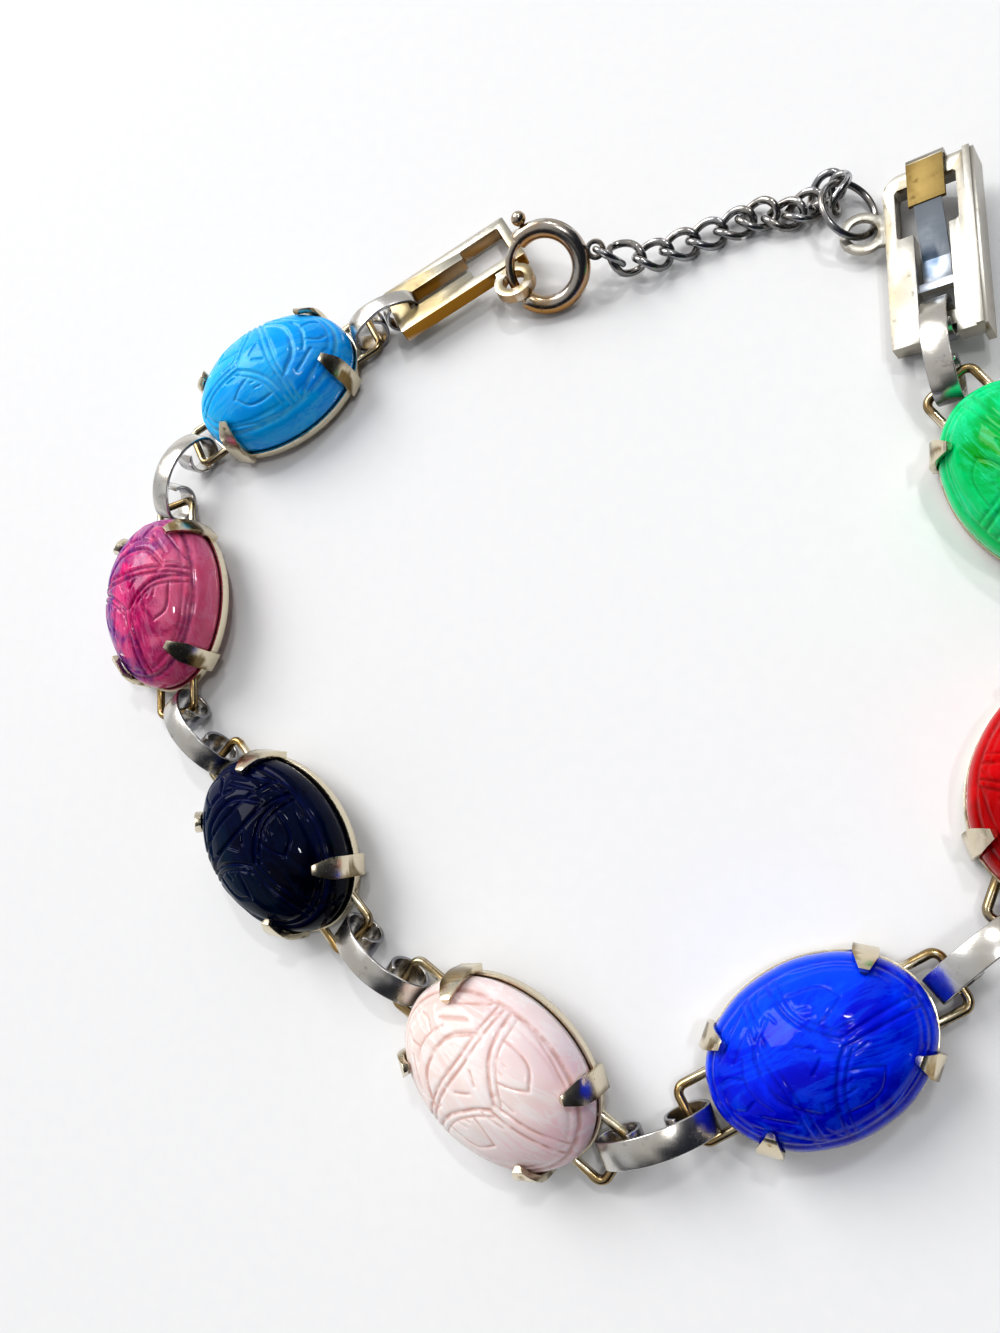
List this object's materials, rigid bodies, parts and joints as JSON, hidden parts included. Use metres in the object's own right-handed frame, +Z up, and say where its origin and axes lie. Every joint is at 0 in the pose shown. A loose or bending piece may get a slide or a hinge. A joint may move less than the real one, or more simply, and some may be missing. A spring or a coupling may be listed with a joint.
{
  "type": "scarab bracelet",
  "caption": "Bracelet of carved scarab stones in open settings, joined by bent strap links and closed by a hook clasp with a safety chain.",
  "frame": {"origin": "middle of the whole bracelet in plan, on the surface that it lies on", "axes": "+Z up from the surface, +Y from the lowest stones towards the clasp, +X towards the clasp frame's side"},
  "size_m": [0.0768, 0.0702, 0.0072],
  "materials": {
    "glass_light_blue": "polished",
    "glass_purple": "polished",
    "glass_black": "polished",
    "glass_pink": "polished",
    "glass_cobalt": "polished",
    "glass_red": "polished",
    "glass_green": "polished",
    "gilt_metal": "worn gilt",
    "satin_metal": "satin",
    "dark_silver": "tarnished"
  },
  "bodies": {
    "bracelet": {"stone_light_blue": "glass_light_blue", "stone_purple": "glass_purple", "stone_black": "glass_black", "stone_pink": "glass_pink", "stone_cobalt": "glass_cobalt", "stone_red": "glass_red", "stone_green": "glass_green", "setting_light_blue": "gilt_metal", "setting_purple": "gilt_metal", "setting_black": "gilt_metal", "setting_pink": "gilt_metal", "setting_cobalt": "gilt_metal", "setting_red": "gilt_metal", "setting_green": "gilt_metal", "strap_link_1": "satin_metal", "strap_link_2": "satin_metal", "strap_link_3": "satin_metal", "strap_link_4": "satin_metal", "strap_link_5": "satin_metal", "strap_link_6": "satin_metal", "strap_link_7": "satin_metal", "strap_link_8": "satin_metal", "catch_plate": "gilt_metal", "clasp_frame": "gilt_metal", "spring_ring": "gilt_metal", "ring_loop": "dark_silver", "chain_link_1": "dark_silver", "chain_link_2": "dark_silver", "chain_link_3": "dark_silver", "chain_link_4": "dark_silver", "chain_link_5": "dark_silver", "chain_link_6": "dark_silver", "chain_link_7": "dark_silver", "chain_link_8": "dark_silver", "chain_link_9": "dark_silver", "chain_link_10": "dark_silver", "jump_ring": "dark_silver"},
    "bolt": {"spring_bolt": "gilt_metal"}
  },
  "joints": [
    {"name": "bolt_slide", "type": "hinge", "parent": "bracelet", "child": "bolt", "pos_m": [-0.00164, 0.02875, 0.00272], "axis": [0, 0.7071, -0.7071], "range_deg": [0, 60]}
  ]
}
